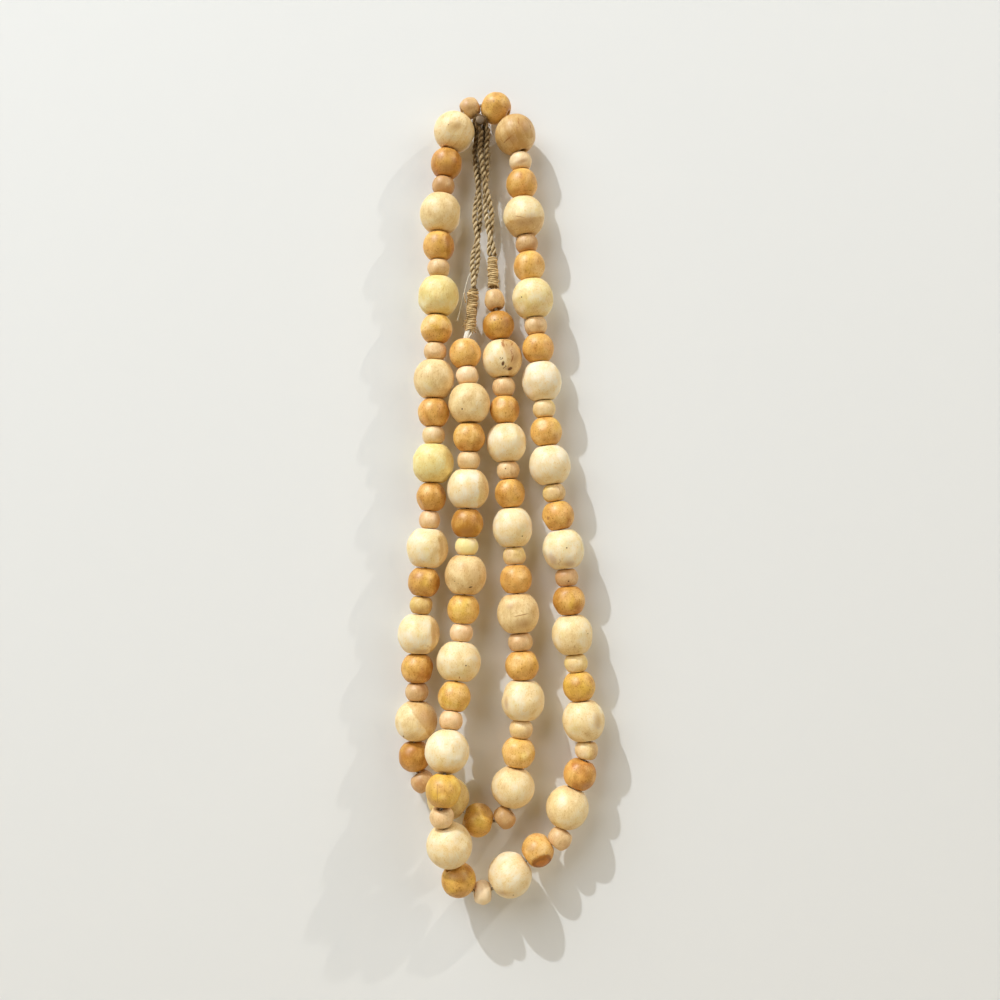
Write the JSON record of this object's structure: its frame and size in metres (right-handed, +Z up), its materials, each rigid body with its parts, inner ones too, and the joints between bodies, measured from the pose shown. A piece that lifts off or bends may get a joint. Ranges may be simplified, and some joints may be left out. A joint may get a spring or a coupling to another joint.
{
  "type": "wooden bead garland on a wall nail",
  "caption": "Long strand of turned wooden beads in three sizes, doubled over one wall nail, with twisted jute hanging loops at its ends.",
  "frame": {"origin": "where the nail's axis meets the wall's face, at the middle of the nail's back end", "axes": "+Z up, +Y into the wall so that the garland hangs at negative Y, +X to the right as seen from the room"},
  "size_m": [0.0998, 0.0365, 0.3994],
  "materials": {
    "large_bead_wood": "pale sanded wood, waxed, from cream to yellow-cream with faint grain",
    "medium_bead_wood": "tan-orange stained wood with a slight polish",
    "small_bead_wood": "pinkish tan sanded wood, matt",
    "jute": "twisted jute twine with loose fibres",
    "white_cord": "white cotton cord",
    "nail_steel": "plain steel nail, dull"
  },
  "bodies": {
    "root": {"bead_repeat_01": "large_bead_wood", "bead_repeat_02": "large_bead_wood", "bead_repeat_03": "large_bead_wood", "bead_repeat_04": "large_bead_wood", "bead_repeat_05": "large_bead_wood", "bead_repeat_06": "large_bead_wood", "bead_repeat_07": "large_bead_wood", "bead_repeat_08": "large_bead_wood", "bead_repeat_09": "large_bead_wood", "bead_repeat_10": "large_bead_wood", "bead_repeat_11": "large_bead_wood", "bead_repeat_12": "large_bead_wood", "bead_repeat_13": "large_bead_wood", "bead_repeat_14": "large_bead_wood", "bead_repeat_15": "large_bead_wood", "bead_repeat_16": "large_bead_wood", "bead_repeat_17": "large_bead_wood", "bead_repeat_18": "large_bead_wood", "bead_repeat_19": "large_bead_wood", "bead_repeat_20": "large_bead_wood", "bead_repeat_21": "large_bead_wood", "bead_repeat_22": "large_bead_wood", "bead_repeat_23": "large_bead_wood", "bead_repeat_24": "large_bead_wood", "bead_repeat_25": "large_bead_wood", "bead_repeat_26": "large_bead_wood", "bead_repeat_27": "large_bead_wood", "bead_repeat_28": "large_bead_wood", "bead_repeat_29": "large_bead_wood", "bead_repeat_30": "large_bead_wood", "bead_repeat_31": "large_bead_wood", "bead_repeat_32": "large_bead_wood", "left_whipping": "jute", "left_hanging_loop": "jute", "right_whipping": "jute", "right_hanging_loop": "jute", "wall_nail": "nail_steel"}
  },
  "joints": []
}
